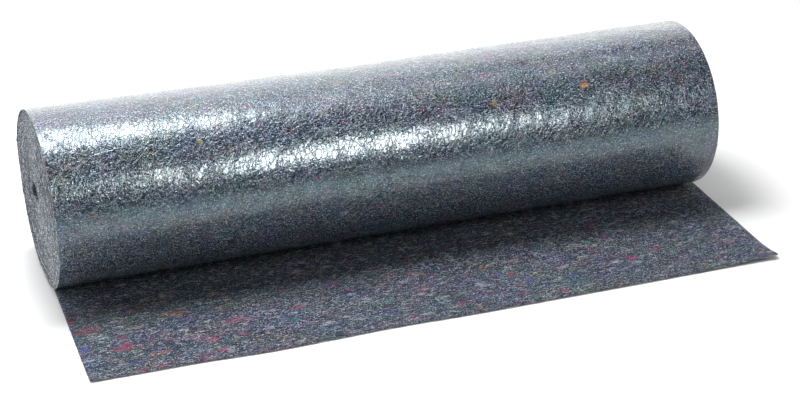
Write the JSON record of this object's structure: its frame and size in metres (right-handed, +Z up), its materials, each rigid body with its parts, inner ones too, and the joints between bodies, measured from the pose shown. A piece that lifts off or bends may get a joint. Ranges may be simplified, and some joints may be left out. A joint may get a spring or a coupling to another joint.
{
  "type": "roll of covering felt",
  "caption": "Roll of grey needled felt with a clear film on its outer face, lying on its side with a short loose end pulled out flat in front.",
  "frame": {"origin": "on the surface the roll lies on, under the roll's axis, halfway across the web's width", "axes": "+X along the roll's axis, +Y away from the loose end, +Z up"},
  "size_m": [1.0113, 0.4253, 0.2505],
  "materials": {
    "filmed_felt": "grey mixed-fibre felt under a thin clear glossy crinkled film",
    "needled_felt": "matte needled felt of blue-grey mixed reclaimed fibres with coloured flecks"
  },
  "bodies": {
    "root": {"wound_roll": "filmed_felt", "loose_end": "needled_felt"}
  },
  "joints": []
}
